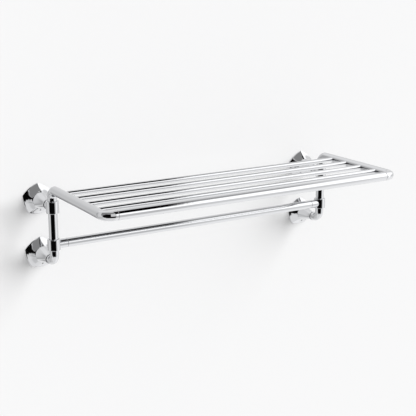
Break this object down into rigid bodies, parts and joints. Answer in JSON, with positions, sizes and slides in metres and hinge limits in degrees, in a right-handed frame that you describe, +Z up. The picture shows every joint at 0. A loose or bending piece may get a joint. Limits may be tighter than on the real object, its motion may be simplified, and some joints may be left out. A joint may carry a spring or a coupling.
{
  "type": "towel rack",
  "caption": "Wall-mounted chrome towel rack: a shelf of thin round bars with a thick front bar, on posts with bell-necked pentagonal flanges, and a towel bar below.",
  "frame": {"origin": "on the wall plane, midway between the axes of the four flanges", "axes": "+X along the rack to the right as one faces the wall, +Y into the wall, +Z up"},
  "size_m": [0.6694, 0.3389, 0.1743],
  "materials": {
    "chrome_tube": "polished chrome plate on drawn brass tube",
    "chrome_casting": "polished chrome plate on cast and turned fittings",
    "zinc_casting": "plain cast zinc, slightly grainy",
    "steel_screw": "zinc-plated steel screw"
  },
  "bodies": {
    "root": {"upper_left_wall_bracket": "zinc_casting", "upper_left_flange": "chrome_casting", "upper_left_neck": "chrome_casting", "upper_left_grub_screw": "steel_screw", "upper_left_wall_screw_top": "steel_screw", "upper_left_wall_screw_base": "steel_screw", "lower_left_wall_bracket": "zinc_casting", "lower_left_flange": "chrome_casting", "lower_left_neck": "chrome_casting", "lower_left_grub_screw": "steel_screw", "lower_left_wall_screw_top": "steel_screw", "lower_left_wall_screw_base": "steel_screw", "upper_left_tee": "chrome_casting", "lower_left_tee": "chrome_casting", "left_post": "chrome_tube", "left_side_rail": "chrome_tube", "left_bottom_elbow": "chrome_tube", "front_bar_left_plug": "zinc_casting", "towel_bar_left_plug": "zinc_casting", "upper_right_wall_bracket": "zinc_casting", "upper_right_flange": "chrome_casting", "upper_right_neck": "chrome_casting", "upper_right_grub_screw": "steel_screw", "upper_right_wall_screw_top": "steel_screw", "upper_right_wall_screw_base": "steel_screw", "lower_right_wall_bracket": "zinc_casting", "lower_right_flange": "chrome_casting", "lower_right_neck": "chrome_casting", "lower_right_grub_screw": "steel_screw", "lower_right_wall_screw_top": "steel_screw", "lower_right_wall_screw_base": "steel_screw", "upper_right_tee": "chrome_casting", "lower_right_tee": "chrome_casting", "right_post": "chrome_tube", "right_side_rail": "chrome_tube", "right_bottom_elbow": "chrome_tube", "front_bar_right_plug": "zinc_casting", "towel_bar_right_plug": "zinc_casting", "front_bar": "chrome_tube", "towel_bar": "chrome_tube", "shelf_bar_1": "chrome_tube", "shelf_bar_2": "chrome_tube", "shelf_bar_3": "chrome_tube", "shelf_bar_4": "chrome_tube"}
  },
  "joints": []
}
